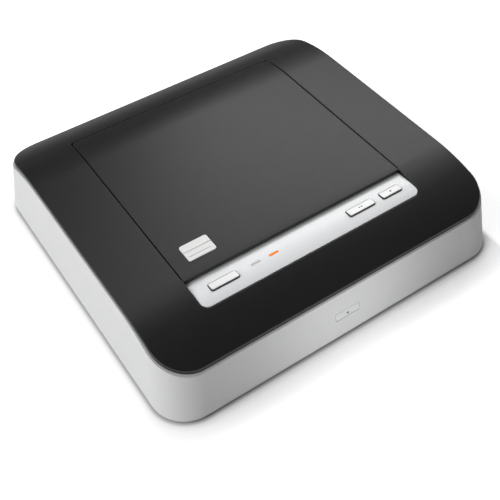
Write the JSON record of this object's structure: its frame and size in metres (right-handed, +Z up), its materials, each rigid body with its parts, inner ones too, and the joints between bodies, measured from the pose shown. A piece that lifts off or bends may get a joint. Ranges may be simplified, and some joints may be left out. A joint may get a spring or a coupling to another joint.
{
  "type": "top-loading dvd player",
  "caption": "Small top-loading disc player with a leaning silver case, a crowned black top, a hinged lid over the disc well, a key strip with lamps, and sockets at the back.",
  "frame": {"origin": "on the table, below the middle of the case", "axes": "+X to the right seen from the front, -Y to the front, +Z up"},
  "size_m": [0.256, 0.242, 0.0532],
  "materials": {
    "silver_case": "satin silver paint on plastic",
    "black_top": "satin black",
    "strip_silver": "pale silver paint on plastic",
    "key_white": "pale silver, glossy",
    "pad_silver": "brushed",
    "amber_lens": "lit amber lens",
    "clear_lens": "frosted clear lens",
    "silver_window": "silver-tinted filter",
    "dark_plastic": "fine texture",
    "pale_plastic": "plain",
    "red_plastic": "plain",
    "rubber": "matt",
    "steel": "zinc plated",
    "polished_steel": "ground and polished",
    "grey_metal": "die cast",
    "copper_core": "varnished windings",
    "lens_glass": "coated lens",
    "green_board": "solder mask",
    "brown_board": "bare laminate",
    "chip_black": "moulded",
    "tape_yellow": "winding tape",
    "can_metal": "drawn cans",
    "nickel": "nickel plated",
    "yellow": "plain",
    "white": "plain",
    "red": "plain",
    "orange": "plain"
  },
  "bodies": {
    "body": {"side_case": "silver_case", "bottom_plate": "silver_case", "feet": "rubber", "case_screws": "steel", "top_cover": "black_top", "control_strip": "strip_silver", "on_lens": "amber_lens", "standby_lens": "clear_lens", "key_board": "green_board", "tact_switches": "chip_black", "led_chips": "pale_plastic", "ir_window": "silver_window", "ir_sensor": "chip_black", "deck": "dark_plastic", "deck_screws": "steel", "latch_housing": "pale_plastic", "latch_spring": "steel", "hinge_pins": "polished_steel", "lid_spring": "steel", "traverse_plate": "steel", "isolators": "rubber", "isolator_screws": "steel", "motor_base": "copper_core", "guide_rods": "polished_steel", "sled_motor": "grey_metal", "main_board": "green_board", "main_chips": "chip_black", "main_connectors": "pale_plastic", "capacitors": "can_metal", "psu_board": "brown_board", "transformer": "tape_yellow", "mains_inlet": "dark_plastic", "inlet_pins": "nickel", "rear_panel": "dark_plastic", "rca_bodies": "chip_black", "rca_barrels": "nickel", "insert_yellow": "yellow", "insert_white": "white", "insert_red": "red", "insert_orange": "orange"},
    "lid": {"lid_shell": "black_top", "lid_panel": "dark_plastic", "lid_screws": "steel", "open_pad": "pad_silver", "latch_hook": "dark_plastic"},
    "clamper": {"clamper_puck": "pale_plastic", "clamper_magnet": "steel"},
    "spindle": {"rotor": "grey_metal", "turntable": "dark_plastic", "turntable_pad": "rubber", "hub_plate": "steel"},
    "sled": {"sled_body": "grey_metal", "sled_nut": "pale_plastic", "actuator": "dark_plastic", "lens": "lens_glass"},
    "screw": {"lead_screw": "polished_steel"},
    "power_key": {"power_button": "key_white"},
    "play_key": {"play_button": "key_white"},
    "stop_key": {"stop_button": "key_white"},
    "catch": {"latch_catch": "red_plastic"}
  },
  "joints": [
    {"name": "lid_hinge", "type": "hinge", "parent": "body", "child": "lid", "pos_m": [0, 0.084, 0.045], "axis": [-1, 0, 0], "range_deg": [0, 66], "deforming": ["lid_spring"]},
    {"name": "clamper_spin", "type": "hinge", "parent": "lid", "child": "clamper", "pos_m": [0, 0.008, 0.04], "axis": [0, 0, 1], "continuous": true},
    {"name": "spindle_spin", "type": "hinge", "parent": "body", "child": "spindle", "pos_m": [0, 0.008, 0.03], "axis": [0, 0, 1], "continuous": true},
    {"name": "sled_slide", "type": "slide", "parent": "body", "child": "sled", "axis": [0, -1, 0], "range_m": [0, 0.034]},
    {"name": "screw_spin", "type": "hinge", "parent": "body", "child": "screw", "pos_m": [0.033, -0.04, 0.026], "axis": [0, 1, 0], "range_deg": [-2, 3062]},
    {"name": "power_press", "type": "slide", "parent": "body", "child": "power_key", "axis": [0, 0, -1], "range_m": [0, 0.0005], "stiffness_N_per_m": 400, "springref_m": -0.001},
    {"name": "play_press", "type": "slide", "parent": "body", "child": "play_key", "axis": [0, 0, -1], "range_m": [0, 0.0005], "stiffness_N_per_m": 400, "springref_m": -0.001},
    {"name": "stop_press", "type": "slide", "parent": "body", "child": "stop_key", "axis": [0, 0, -1], "range_m": [0, 0.0005], "stiffness_N_per_m": 400, "springref_m": -0.001},
    {"name": "catch_slide", "type": "slide", "parent": "body", "child": "catch", "axis": [0, 1, 0], "range_m": [0, 0.0025], "stiffness_N_per_m": 300, "springref_m": -0.001, "deforming": ["latch_spring"]}
  ],
  "couplings": [
    {"joint": "screw_spin", "follows": "sled_slide", "rad_per_m": 1570.8}
  ]
}
